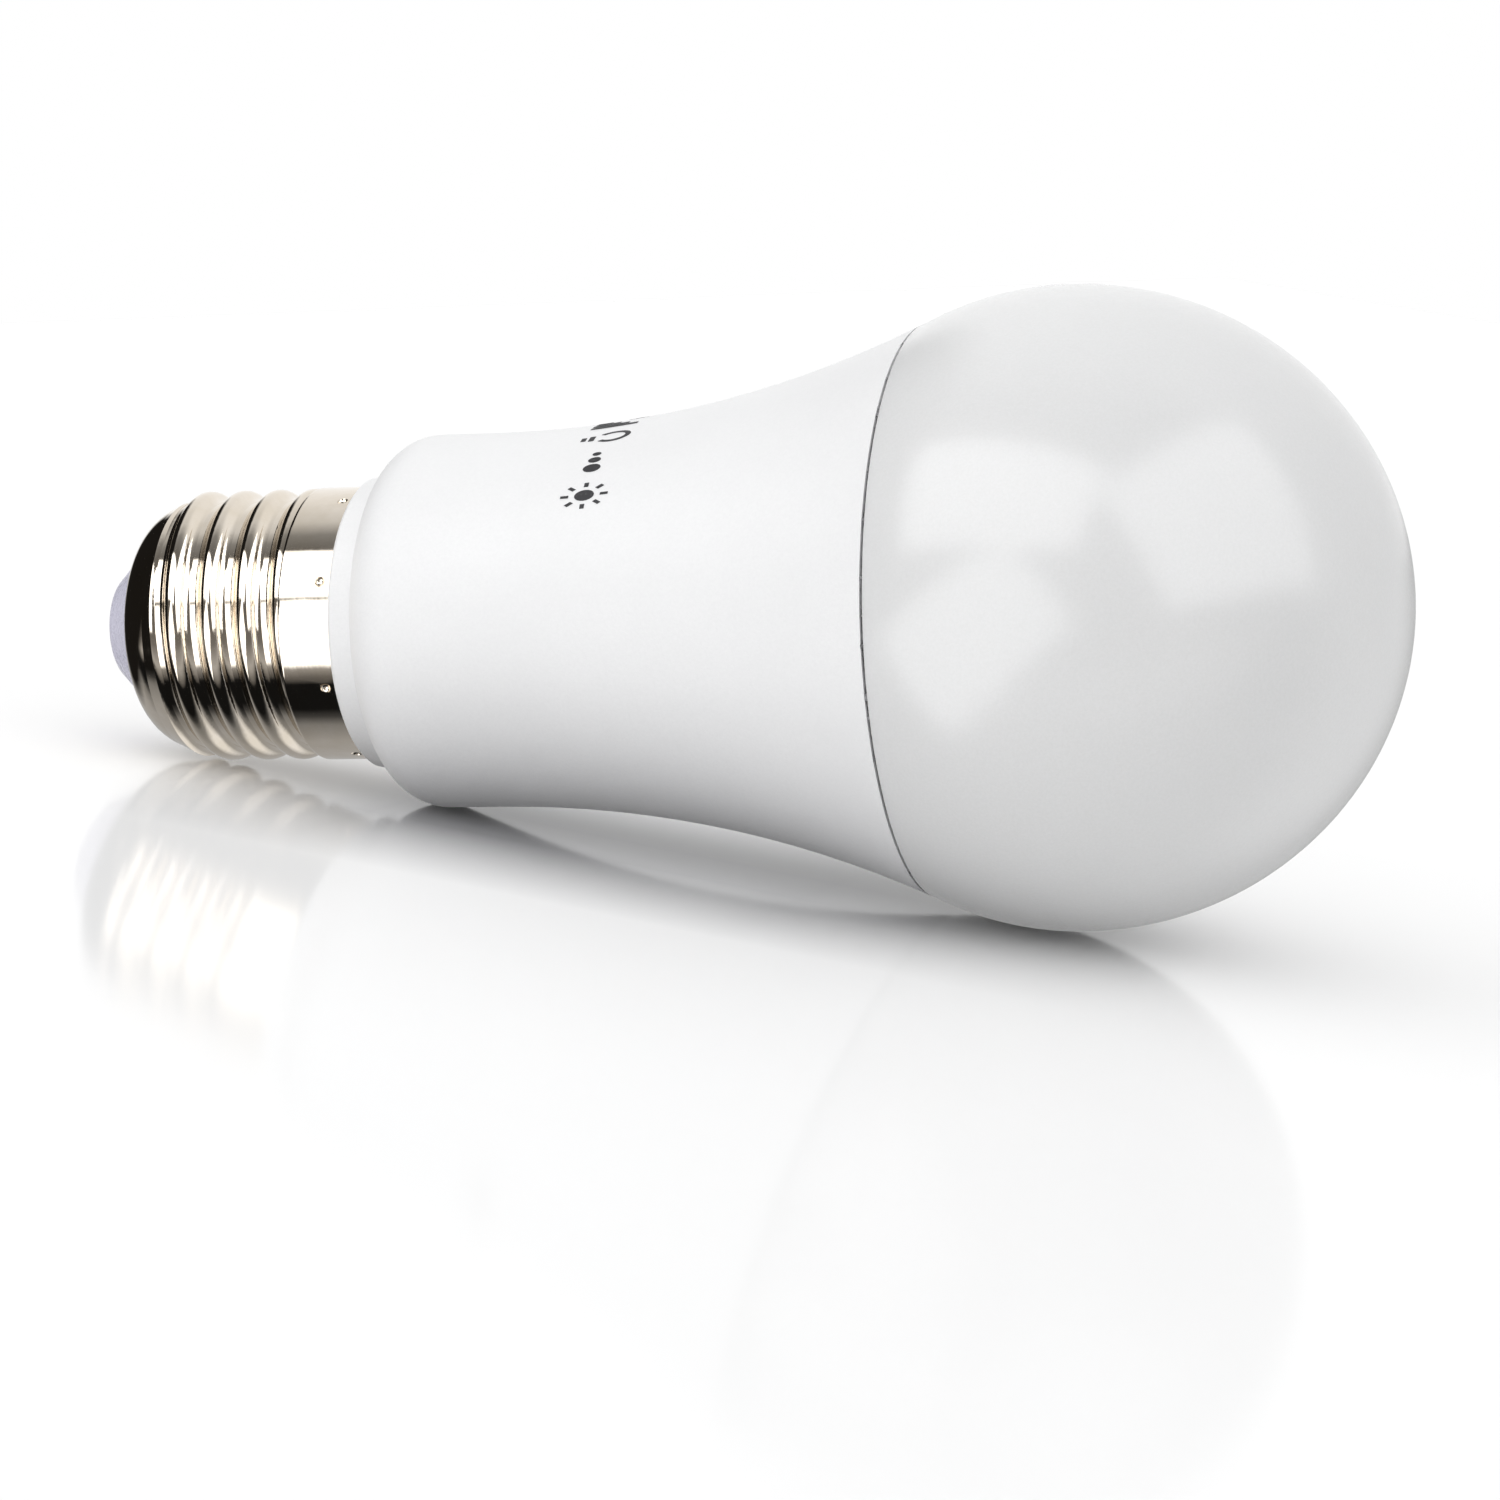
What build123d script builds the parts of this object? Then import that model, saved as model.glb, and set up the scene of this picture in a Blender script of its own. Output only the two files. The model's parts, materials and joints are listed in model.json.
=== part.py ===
from build123d import *
import math
import os

# A smart LED lamp with an E27 screw cap, in millimetres.
# The lamp axis is +X, from the centre contact on the cap to the tip of the dome. +Z is up.
# The origin is on the axis, at the end face of the centre contact.
# Radii are measured from the lamp axis. Boards lie across the axis (LED board) or along it (driver board).

# ---- Outer form ----
TOTAL_LENGTH = 127.5
DOME_R = 30.0
DOME_CENTRE_X = 96.5  # the widest section
WAIST_R = 17.9  # the slim cylindrical part of the housing
FLARE_START_X = 40.0  # the waist begins to flare here
SEAM_X = 83.0  # where the dome meets the housing
SEAM_GAP = 0.3
COLLAR_X = 27.15
COLLAR_R = 13.95
COLLAR_END_R = 14.3
COLLAR_CHAMFER = 0.3
HEEL_ROUND = 5.0  # rounding of the housing's cap end
HEEL_X = 34.4  # the heel round ends here, at the waist radius

# ---- Walls and clearances ----
DOME_WALL = 1.2
HOUSING_WALL = 1.6
CUP_WALL = 0.9
FIT_GAP = 0.05  # play between parts that are pushed together
TONGUE_GAP = 0.35  # room for adhesive between the dome's tongue and the housing
TONGUE_WALL = 1.0
TONGUE_LENGTH = 2.8
TONGUE_ROOT = 1.2  # how far the tongue reaches into the dome
ADHESIVE_RECESS = 0.45  # depth of the open seam groove
ADHESIVE_PLAY = 0.03

# ---- E27 cap ----
SHELL_WALL = 0.35
THREAD_PITCH = 3.629
THREAD_ROOT_R = 12.05
THREAD_DEPTH = 1.05
CREST_ROUND = 1.025
ROOT_ROUND = 0.9
THREAD_SINK = 0.015  # how far the ridge's root arcs dip into the root cylinder
RIDGE_FOOT = 0.25
THREAD_START_X = 4.67
THREAD_TURNS = 5.5
RUNOUT_START = (6.2, 11.2)  # x and radius: the ridge fades out under a cone between these
RUNOUT_END = (10.2, 13.2)
SHOULDER_ROUND = 5.07
SHOULDER_X = 9.0  # the shoulder meets the root cylinder here
SHELL_HOLE_R = 7.8
SKIRT_R = 13.15
SKIRT_RISE_X = 21.1
SKIRT_X = 22.1
SHELL_RIM_X = 27.0
STAKE_COUNT = 8
STAKE_PHASE = 24.0  # degrees
STAKE_X = 26.0
STAKE_R = 0.55
STAKE_CENTRE_R = 13.35

# ---- Cap end ----
INSULATOR_FACE_X = 0.75
INSULATOR_FACE_R = 4.6
INSULATOR_ROUND = 1.6
INSULATOR_SIDE_R = 7.75
INSULATOR_SIDE_X = 3.9
INSULATOR_FLANGE_R = 8.8
INSULATOR_FLANGE_X = 4.8
INSULATOR_END_X = 7.2
CONTACT_FACE_R = 1.6
CONTACT_HEAD_R = 3.1
CONTACT_SHANK_R = 1.6
CONTACT_END_X = 7.6
CONTACT_BORE_R = 0.75
CONTACT_BORE_X = 1.6

# ---- Housing neck ----
NECK_MOUTH_X = 10.0
NECK_R = 10.9
NECK_BORE_R = 9.4
LAND_X = 23.0  # the wide seat under the screw shell's skirt
BODY_FLOOR_X = 33.0
GUIDE_HEIGHT = 2.4
GUIDE_WIDTH = 1.0
GUIDE_X = (12.0, 31.0)

# ---- Light engine ----
CUP_SKIRT_X = 35.0
PLATE_X = 77.4
PLATE_THICKNESS = 1.2
PASTE_THICKNESS = 0.2
PASTE_R = 16.8
LED_BOARD_THICKNESS = 1.0
LED_BOARD_R = 22.6
WHITE_LED_RING_R = 17.0
WHITE_LED_PAIRS = 8
WHITE_LED_SIZE = (0.7, 3.5, 2.8)  # height, tangential, radial
COLOUR_LED_SIZE = (1.6, 5.0, 5.0)
COLOUR_LED_PLACES = ((9.5, 0.0), (-10.0, 0.0), (-1.75, 11.6), (-1.75, -11.6))  # y, z
PACKAGE_CHAMFER = 0.25  # on LED packages, chips and boxed capacitors
SCREW_PLACES = ((0.0, 20.0), (0.0, -20.0))  # y, z
SCREW_R = 1.2
SCREW_HEAD_R = 2.2
SCREW_HEAD_HEIGHT = 1.4
SCREW_LENGTH = 3.2
SCREW_PLAY = 0.08
CROSS_SLOT = (0.7, 2.6)  # width, length
CROSS_DEPTH = 0.8

# ---- Driver board and its components ----
BOARD_THICKNESS = 1.2
BOARD_NECK_HALF = 8.0
BOARD_BODY_HALF = 12.5
BOARD_X = (12.5, 34.5, 74.0)  # cap end, start of the wide part, dome end
SOLDER_GAP = 0.05
CAPACITOR_R = 4.0
CAPACITOR_GROOVE_R = 3.7
INPUT_CAPACITOR_X = (16.0, 30.0)
OUTPUT_CAPACITOR_X = (58.4, 69.4)
OUTPUT_CAPACITOR_Z = -6.0
FILM_CAPACITOR = ((36.0, 3.0), (46.0, 8.0), 9.0)  # low x z, high x z, height
CHOKE_X = 41.5
CHOKE_Z = -6.5
CHOKE_R = 4.0
CHOKE_HUB_R = 2.0
CHOKE_HEIGHT = 9.0
CHOKE_FLANGE = 1.2
CHOKE_COIL_R = 3.6
CORE_X = 52.5
CORE_SIZE = (10.0, 10.0, 5.0)  # along x, y and z
CORE_LEG = 1.6
CORE_CENTRE_LEG = 2.8
BOBBIN_WALL = 0.4
BOBBIN_FLANGE = 0.6
WINDING_X_HALF = 3.25
WINDING_Z_HALF = 4.8
BRIDGE_BODY = (4.7, 1.5, 3.9)
BRIDGE_X = 27.5
CHIP_BODY = (4.9, 1.5, 3.9)
CHIP_X = 42.5
CHIP_LEAD = (0.4, 0.6, 1.0)
RESISTOR_R = 1.5
RESISTOR_X = (15.0, 23.5)
RESISTOR_Z = -4.0
RESISTOR_LEAD_R = 0.3
RESISTOR_LEAD = 1.8

# ---- Pin header between the boards ----
HEADER_X = (71.2, 73.7)
HEADER_Y = (0.65, 3.15)
HEADER_PINS = 6
HEADER_PITCH = 2.54
PIN_SIDE = 0.64
HEADER_PIN_END_X = 81.3
HEADER_SLOT = (0.7, 3.1)  # y range of the slot in the plate and the LED board
SLOT_HALF = 8.6

# ---- Radio module ----
MODULE_X = (62.0, 92.0)
MODULE_Y = -5.0
MODULE_THICKNESS = 0.8
MODULE_HALF = 8.0
MODULE_SLOT = 1.6
CAN_X = (63.5, 75.5)
CAN_HALF = 6.2
CAN_HEIGHT = 2.2
CAN_WALL = 0.25
CAN_ROUND = 0.6
MODULE_PINS = 6
MODULE_PIN_PITCH = 1.6
MODULE_PIN_Z = 7.0
ANTENNA_X = (82.5, 90.5)
ANTENNA_HALF = 6.5
ANTENNA_TURNS = 4
ANTENNA_WIDTH = 0.6
ANTENNA_THICKNESS = 0.1

# ---- Leads ----
LIVE_LEAD_R = 0.65
LIVE_LEAD_ROUTE = ((16.0, -1.35, 3.5), (11.7, -1.35, 3.5), (9.0, 0.0, 0.0), (2.0, 0.0, 0.0))
LIVE_LEAD_BEND = 1.6
NEUTRAL_LEAD_R = 0.3
NEUTRAL_LEAD_ROUTE = ((18.0, -0.95, 6.2), (8.9, -0.95, 6.2), (8.9, -0.95, 11.26), (18.0, -0.95, 11.26))
NEUTRAL_LEAD_BEND = 1.4

# ---- Values worked out from the above ----
# The flare is an arc tangent to the waist and to the dome's sphere.
FLARE_R = ((DOME_CENTRE_X - FLARE_START_X) ** 2 + WAIST_R**2 - DOME_R**2) / (2 * (DOME_R - WAIST_R))
FLARE_TURN = math.degrees(math.asin((DOME_CENTRE_X - FLARE_START_X) / (FLARE_R + DOME_R)))
DOME_END_LENGTH = TOTAL_LENGTH - DOME_CENTRE_X
PLATE_TOP_X = PLATE_X + PLATE_THICKNESS
LED_BOARD_X = PLATE_TOP_X + PASTE_THICKNESS
LED_BOARD_TOP_X = LED_BOARD_X + LED_BOARD_THICKNESS
BOARD_HALF = BOARD_THICKNESS / 2
MODULE_BACK_Y = MODULE_Y + MODULE_THICKNESS / 2
MODULE_FRONT_Y = MODULE_Y - MODULE_THICKNESS / 2


# ---- Shapes used by several parts ----
def block(low, high):
    """A box from its lowest corner to its highest corner."""
    size = [upper - lower for lower, upper in zip(low, high)]
    return Pos(*low) * Box(*size, align=(Align.MIN, Align.MIN, Align.MIN))


def rod(start_x, end_x, radius, y=0.0, z=0.0):
    """A round rod along the lamp axis's direction."""
    length = end_x - start_x
    upright = Cylinder(radius, length, align=(Align.CENTER, Align.CENTER, Align.MIN))
    return Pos(start_x, y, z) * Rot(0, 90, 0) * upright


def post(x, z, start_y, end_y, radius):
    """A round rod along +Y, standing on the driver board."""
    length = end_y - start_y
    upright = Cylinder(radius, length, align=(Align.CENTER, Align.CENTER, Align.MIN))
    return Pos(x, start_y, z) * Rot(-90, 0, 0) * upright


def turned(outline):
    """A solid of revolution about the lamp axis, from a closed outline in the XY plane."""
    return revolve(make_face(outline), Axis.X)


def outer_form(inset, start_x):
    """The lamp's smooth form from start_x to the tip, moved inwards by inset."""
    waist = WAIST_R - inset
    flare = CenterArc((FLARE_START_X, WAIST_R + FLARE_R), FLARE_R + inset, -90, FLARE_TURN)
    shoulder = CenterArc((DOME_CENTRE_X, 0), DOME_R - inset, 90, FLARE_TURN)
    end = EllipticalCenterArc(
        (DOME_CENTRE_X, 0), DOME_END_LENGTH - inset, DOME_R - inset, start_angle=0, arc_size=90
    )
    base = Polyline((TOTAL_LENGTH - inset, 0), (start_x, 0), (start_x, waist), (FLARE_START_X, waist))
    return turned(base + flare + shoulder + end)


def slab(start_x, end_x):
    """Everything between two planes across the lamp axis."""
    return rod(start_x, end_x, 2 * DOME_R)


def layer(outer_inset, inner_inset, start_x, end_x):
    """A wall that follows the lamp's form, between two insets and two planes."""
    wall = outer_form(outer_inset, HEEL_X) - outer_form(inner_inset, HEEL_X)
    return wall & slab(start_x, end_x)


def tube_along(route, bend, radius):
    """A round wire along a route of straight runs joined by arcs."""
    path = FilletPolyline(*route, radius=bend)
    return sweep(Plane(path @ 0, z_dir=path % 0) * Circle(radius), path=path)


# ---- Screw cap ----
def thread_ridge(inset):
    """The rolled thread as a helical ridge about +Z, moved inwards by inset."""
    crest_round = CREST_ROUND - inset
    root_round = ROOT_ROUND + inset
    crest_centre = THREAD_DEPTH - CREST_ROUND - THREAD_SINK
    root_centre = ROOT_ROUND - THREAD_SINK
    rise = root_centre - crest_centre
    half_width = math.sqrt((CREST_ROUND + ROOT_ROUND) ** 2 - rise**2)
    slope = math.degrees(math.atan2(rise, half_width))

    # The section is drawn with its height along x and the lamp axis along y, about the unmoved root.
    crest = CenterArc((crest_centre, 0), crest_round, slope - 90, 180 - 2 * slope)
    upper_root = CenterArc((root_centre, half_width), root_round, 180, 90 - slope)
    lower_root = CenterArc((root_centre, -half_width), root_round, 90 + slope, 90 - slope)
    root_line = root_centre - root_round
    foot = root_line - RIDGE_FOOT
    back = Polyline(
        (root_line, half_width), (foot, half_width), (foot, -half_width), (root_line, -half_width)
    )
    section = make_face(crest + upper_root + lower_root + back)

    path = Helix(
        pitch=THREAD_PITCH,
        height=THREAD_PITCH * THREAD_TURNS,
        radius=THREAD_ROOT_R,
        center=(0, 0, THREAD_START_X),
    )
    axial_plane = Plane(path @ 0, x_dir=(1, 0, 0), z_dir=(0, -1, 0))
    return sweep(axial_plane * section, path=path, is_frenet=True)


def thread_runout(inset):
    """The space under the cone where the thread ridge fades into the shoulder, up to the skirt."""
    start_x, start_r = RUNOUT_START
    end_x, end_r = RUNOUT_END
    outline = Polyline(
        (start_x, 0),
        (start_x, start_r - inset),
        (end_x, end_r - inset),
        (SKIRT_X, end_r - inset),
        (SKIRT_X, 0),
        close=True,
    )
    return turned(outline)


def cap_form(inset):
    """The solid inside the screw shell's surface, moved inwards by inset."""
    root_r = THREAD_ROOT_R - inset
    skirt_r = SKIRT_R - inset
    shoulder = CenterArc((SHOULDER_X, THREAD_ROOT_R - SHOULDER_ROUND), SHOULDER_ROUND - inset, 90, 90)
    rise = Spline((SKIRT_RISE_X, root_r), (SKIRT_X, skirt_r), tangents=[(1, 0), (1, 0)])
    root_line = Line((SHOULDER_X, root_r), (SKIRT_RISE_X, root_r))
    nose_x = SHOULDER_X - SHOULDER_ROUND + inset
    base = Polyline(
        (SKIRT_X, skirt_r),
        (SHELL_RIM_X, skirt_r),
        (SHELL_RIM_X, 0),
        (nose_x, 0),
        (nose_x, THREAD_ROOT_R - SHOULDER_ROUND),
    )
    body = turned(shoulder + root_line + rise + base)
    ridge = Rot(0, 90, 0) * thread_ridge(inset)
    return body + (ridge & thread_runout(inset))


def stakes(radius):
    """Balls at the places where the skirt is staked into the housing's neck."""
    step = 360 / STAKE_COUNT
    turns = [Rot(STAKE_PHASE + step * index, 0, 0) for index in range(STAKE_COUNT)]
    return [turn * Pos(STAKE_X, STAKE_CENTRE_R, 0) * Sphere(radius) for turn in turns]


def make_screw_shell():
    """Thin rolled shell with its thread, plain skirt, shoulder and end hole, staked at the rim."""
    shell = cap_form(0) - cap_form(SHELL_WALL) - rod(0, SHOULDER_X, SHELL_HOLE_R)
    inside = rod(SKIRT_X, SHELL_RIM_X, SKIRT_R - SHELL_WALL / 2)
    bumps = [ball & inside for ball in stakes(STAKE_R + SHELL_WALL)]
    return shell + bumps - stakes(STAKE_R)


def make_cap_insulator():
    """Moulded nose that closes the screw shell's end and carries the centre contact."""
    side = (INSULATOR_SIDE_X, INSULATOR_SIDE_R)
    face_centre = (INSULATOR_FACE_X, 0)
    nose = FilletPolyline(
        face_centre, (INSULATOR_FACE_X, INSULATOR_FACE_R), side, radius=INSULATOR_ROUND
    )
    back = Polyline(
        side,
        (INSULATOR_FLANGE_X, INSULATOR_SIDE_R),
        (INSULATOR_FLANGE_X, INSULATOR_FLANGE_R),
        (INSULATOR_END_X, INSULATOR_FLANGE_R),
        (INSULATOR_END_X, 0),
        face_centre,
    )
    return turned(nose + back) - rod(0, INSULATOR_END_X, CONTACT_SHANK_R + FIT_GAP)


def make_centre_contact():
    """Rivet with a low domed head and a blind bore for the live lead."""
    face_edge = (0, CONTACT_FACE_R)
    head_edge = (INSULATOR_FACE_X, CONTACT_HEAD_R)
    crown = Spline(face_edge, head_edge, tangents=[(0, 1), (1, 0.4)])
    head = turned(crown + Polyline(head_edge, (INSULATOR_FACE_X, 0), (0, 0), face_edge))
    shank = rod(INSULATOR_FACE_X, CONTACT_END_X, CONTACT_SHANK_R)
    return head + shank - rod(CONTACT_BORE_X, CONTACT_END_X, CONTACT_BORE_R)


# ---- Housing and dome ----
def make_housing():
    """Moulded body: neck inside the screw shell, collar, rounded heel, waist and flare up to the seam."""
    collar = Polyline(
        (HEEL_X, 0),
        (COLLAR_X, 0),
        (COLLAR_X, COLLAR_R - COLLAR_CHAMFER),
        (COLLAR_X + COLLAR_CHAMFER, COLLAR_R),
    )
    heel_centre = (HEEL_X, WAIST_R - HEEL_ROUND)
    heel_start_x = HEEL_X - math.sqrt(HEEL_ROUND**2 - (COLLAR_END_R - heel_centre[1]) ** 2)
    heel_angle = math.degrees(math.atan2(COLLAR_END_R - heel_centre[1], heel_start_x - HEEL_X))
    collar_side = Line((COLLAR_X + COLLAR_CHAMFER, COLLAR_R), (heel_start_x, COLLAR_END_R))
    heel = CenterArc(heel_centre, HEEL_ROUND, 90, heel_angle - 90)
    closing = Line((HEEL_X, WAIST_R), (HEEL_X, 0))
    outside = turned(collar + collar_side + heel + closing) + outer_form(0, HEEL_X)
    shell = outside - outer_form(HOUSING_WALL, BODY_FLOOR_X)
    shell = shell & slab(COLLAR_X, SEAM_X - SEAM_GAP / 2)

    neck = rod(NECK_MOUTH_X, COLLAR_X, NECK_R)
    land = rod(LAND_X, COLLAR_X, SKIRT_R - SHELL_WALL - FIT_GAP)
    guides = [
        block((GUIDE_X[0], y, z), (GUIDE_X[1], y + GUIDE_WIDTH, z + GUIDE_HEIGHT))
        for y in (BOARD_HALF + FIT_GAP, -BOARD_HALF - FIT_GAP - GUIDE_WIDTH)
        for z in (NECK_BORE_R - GUIDE_HEIGHT, -NECK_BORE_R)
    ]
    guides = [guide & rod(NECK_MOUTH_X, BODY_FLOOR_X, NECK_R - FIT_GAP) for guide in guides]
    housing = shell + neck + land - rod(NECK_MOUTH_X, BODY_FLOOR_X, NECK_BORE_R)
    return housing + guides - stakes(STAKE_R + SHELL_WALL)


def make_diffuser_dome():
    """Milky blow-moulded dome with a tongue that drops into the housing's rim."""
    rim_x = SEAM_X + SEAM_GAP / 2
    tongue_inset = HOUSING_WALL + TONGUE_GAP
    dome = layer(0, DOME_WALL, rim_x, TOTAL_LENGTH)
    root = layer(0, tongue_inset + TONGUE_WALL, rim_x, rim_x + TONGUE_ROOT)
    tongue = layer(tongue_inset, tongue_inset + TONGUE_WALL, rim_x - TONGUE_LENGTH, rim_x + TONGUE_ROOT / 2)
    return dome + root + tongue


def make_dome_adhesive():
    """Bead that fills the seam, set back from the surface, and the room beside the dome's tongue."""
    rim_x = SEAM_X + SEAM_GAP / 2
    groove_floor = HOUSING_WALL + TONGUE_GAP - ADHESIVE_PLAY
    in_seam = layer(ADHESIVE_RECESS, groove_floor, SEAM_X - SEAM_GAP / 2, rim_x)
    beside_tongue = layer(HOUSING_WALL + ADHESIVE_PLAY, groove_floor, rim_x - TONGUE_LENGTH, SEAM_X)
    return in_seam + beside_tongue


# ---- Light engine ----
def screw_rods(start_x, end_x, radius):
    """Rods at the board screws' places."""
    return [rod(start_x, end_x, radius, y, z) for y, z in SCREW_PLACES]


def board_slots():
    """The slots for the pin header and the radio module through the cup's plate, paste and LED board."""
    module_y = (MODULE_Y - MODULE_SLOT / 2, MODULE_Y + MODULE_SLOT / 2)
    return [
        block((PLATE_X, low_y, -SLOT_HALF), (LED_BOARD_TOP_X, high_y, SLOT_HALF))
        for low_y, high_y in (HEADER_SLOT, module_y)
    ]


def make_heat_sink_cup():
    """Deep-drawn aluminium cup, upside down in the housing, whose plate carries the LED board."""
    outside = HOUSING_WALL + FIT_GAP
    skirt = layer(outside, outside + CUP_WALL, CUP_SKIRT_X, PLATE_X + PLATE_THICKNESS / 2)
    plate = outer_form(outside, HEEL_X) & slab(PLATE_X, PLATE_TOP_X)
    holes = screw_rods(PLATE_X, PLATE_TOP_X, SCREW_R + FIT_GAP)
    return skirt + plate - holes - board_slots()


def make_thermal_paste():
    """Thin layer between the cup's plate and the LED board."""
    return rod(PLATE_TOP_X, LED_BOARD_X, PASTE_R) - board_slots()


def make_led_board():
    """Round aluminium-core board."""
    holes = screw_rods(LED_BOARD_X, LED_BOARD_TOP_X, SCREW_R + SCREW_PLAY)
    return rod(LED_BOARD_X, LED_BOARD_TOP_X, LED_BOARD_R) - holes - board_slots()


def led(size):
    """One LED package standing on the LED board at the lamp axis, with its upper edges chamfered."""
    height, width, depth = size
    package = block((0, -width / 2, -depth / 2), (height, width / 2, depth / 2))
    lens_edges = package.faces().sort_by(Axis.X)[-1].edges()
    return Pos(LED_BOARD_TOP_X, 0, 0) * chamfer(lens_edges, PACKAGE_CHAMFER)


def white_leds(first):
    """Every second package of the white ring, starting with the one numbered first."""
    step = 360 / (2 * WHITE_LED_PAIRS)
    return Compound(
        [
            Rot(step * (index + 0.5), 0, 0) * Pos(0, 0, WHITE_LED_RING_R) * led(WHITE_LED_SIZE)
            for index in range(first, 2 * WHITE_LED_PAIRS, 2)
        ]
    )


def make_colour_leds():
    """Packages with red, green and blue chips, inside the white ring."""
    return Compound([Pos(0, y, z) * led(COLOUR_LED_SIZE) for y, z in COLOUR_LED_PLACES])


def make_board_screws():
    """Two pan-head screws that clamp the LED board to the cup's plate."""
    slot_width, slot_length = CROSS_SLOT
    head_top = LED_BOARD_TOP_X + SCREW_HEAD_HEIGHT
    screws = []
    for y, z in SCREW_PLACES:
        head = rod(LED_BOARD_TOP_X, head_top, SCREW_HEAD_R, y, z)
        head = fillet(head.faces().sort_by(Axis.X)[-1].edges(), SCREW_HEAD_HEIGHT / 2)
        cross = [
            Pos(head_top - CROSS_DEPTH / 2, y, z) * Box(CROSS_DEPTH, width, length)
            for width, length in (CROSS_SLOT, (slot_length, slot_width))
        ]
        shank = rod(LED_BOARD_TOP_X - SCREW_LENGTH, LED_BOARD_TOP_X, SCREW_R, y, z)
        screws.append(head + shank - cross)
    return Compound(screws)


# ---- Driver board and its components ----
def make_driver_board():
    """T-shaped board along the axis: narrow in the neck, wide in the body."""
    cap_end, shoulder, dome_end = BOARD_X
    neck = block((cap_end, -BOARD_HALF, -BOARD_NECK_HALF), (shoulder, BOARD_HALF, BOARD_NECK_HALF))
    body = block((shoulder, -BOARD_HALF, -BOARD_BODY_HALF), (dome_end, BOARD_HALF, BOARD_BODY_HALF))
    return neck + body


def lying_capacitor(start_x, end_x, z):
    """Electrolytic capacitor can lying on the back of the driver board, with its crimped groove."""
    y = BOARD_HALF + SOLDER_GAP + CAPACITOR_R
    can = rod(start_x, end_x, CAPACITOR_R, y, z)
    groove = 2 * (CAPACITOR_R - CAPACITOR_GROOVE_R)
    band = rod(start_x + groove, start_x + 2 * groove, CAPACITOR_R, y, z)
    band -= rod(start_x + groove, start_x + 2 * groove, CAPACITOR_GROOVE_R, y, z)
    return can - band


def make_film_capacitor():
    """Boxed noise-suppression capacitor."""
    (low_x, low_z), (high_x, high_z), height = FILM_CAPACITOR
    foot = BOARD_HALF + SOLDER_GAP
    box = block((low_x, foot, low_z), (high_x, foot + height, high_z))
    return chamfer(box.faces().sort_by(Axis.Y)[-1].edges(), PACKAGE_CHAMFER)


def make_choke_core():
    """Ferrite spool of the noise-filter choke, standing on the driver board."""
    foot = BOARD_HALF + SOLDER_GAP
    top = foot + CHOKE_HEIGHT
    lower = post(CHOKE_X, CHOKE_Z, foot, foot + CHOKE_FLANGE, CHOKE_R)
    upper = post(CHOKE_X, CHOKE_Z, top - CHOKE_FLANGE, top, CHOKE_R)
    return lower + upper + post(CHOKE_X, CHOKE_Z, foot, top, CHOKE_HUB_R)


def make_choke_coil():
    """Copper winding between the spool's flanges."""
    start = BOARD_HALF + SOLDER_GAP + CHOKE_FLANGE + FIT_GAP
    end = BOARD_HALF + SOLDER_GAP + CHOKE_HEIGHT - CHOKE_FLANGE - FIT_GAP
    coil = post(CHOKE_X, CHOKE_Z, start, end, CHOKE_COIL_R)
    return coil - post(CHOKE_X, CHOKE_Z, start, end, CHOKE_HUB_R + FIT_GAP)


def core_box(half_x, half_z, low_y, high_y):
    """A box centred on the transformer core, between two heights above the driver board."""
    return block((CORE_X - half_x, low_y, -half_z), (CORE_X + half_x, high_y, half_z))


def make_transformer_core():
    """Ferrite E-core pair: a frame with a centre leg that stands away from the board."""
    length, height, thickness = CORE_SIZE
    foot = BOARD_HALF + SOLDER_GAP
    frame = core_box(length / 2, thickness / 2, foot, foot + height)
    window_low = foot + CORE_LEG
    window_high = foot + height - CORE_LEG
    window = core_box(length / 2 - CORE_LEG, thickness / 2, window_low, window_high)
    centre_leg = core_box(CORE_CENTRE_LEG / 2, thickness / 2, window_low, window_high)
    return frame - window + centre_leg


def around_centre_leg(inner_gap, half_x, half_z, low_y, high_y):
    """A ring around the transformer's centre leg."""
    thickness = CORE_SIZE[2]
    hole = core_box(CORE_CENTRE_LEG / 2 + inner_gap, thickness / 2 + inner_gap, low_y, high_y)
    return core_box(half_x, half_z, low_y, high_y) - hole


def make_transformer_bobbin():
    """Plastic bobbin around the centre leg, with a flange at each end."""
    low = BOARD_HALF + SOLDER_GAP + CORE_LEG + FIT_GAP
    high = BOARD_HALF + SOLDER_GAP + CORE_SIZE[1] - CORE_LEG - FIT_GAP
    tube_x = CORE_CENTRE_LEG / 2 + FIT_GAP + BOBBIN_WALL
    tube_z = CORE_SIZE[2] / 2 + FIT_GAP + BOBBIN_WALL
    tube = around_centre_leg(FIT_GAP, tube_x, tube_z, low, high)
    lower = around_centre_leg(FIT_GAP, WINDING_X_HALF, WINDING_Z_HALF, low, low + BOBBIN_FLANGE)
    upper = around_centre_leg(FIT_GAP, WINDING_X_HALF, WINDING_Z_HALF, high - BOBBIN_FLANGE, high)
    return tube + lower + upper


def make_transformer_winding():
    """Taped winding between the bobbin's flanges."""
    play = BOBBIN_FLANGE + 2 * FIT_GAP
    low = BOARD_HALF + SOLDER_GAP + CORE_LEG + play
    high = BOARD_HALF + SOLDER_GAP + CORE_SIZE[1] - CORE_LEG - play
    inner_gap = 2 * FIT_GAP + BOBBIN_WALL
    return around_centre_leg(inner_gap, WINDING_X_HALF - FIT_GAP, WINDING_Z_HALF - FIT_GAP, low, high)


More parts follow.
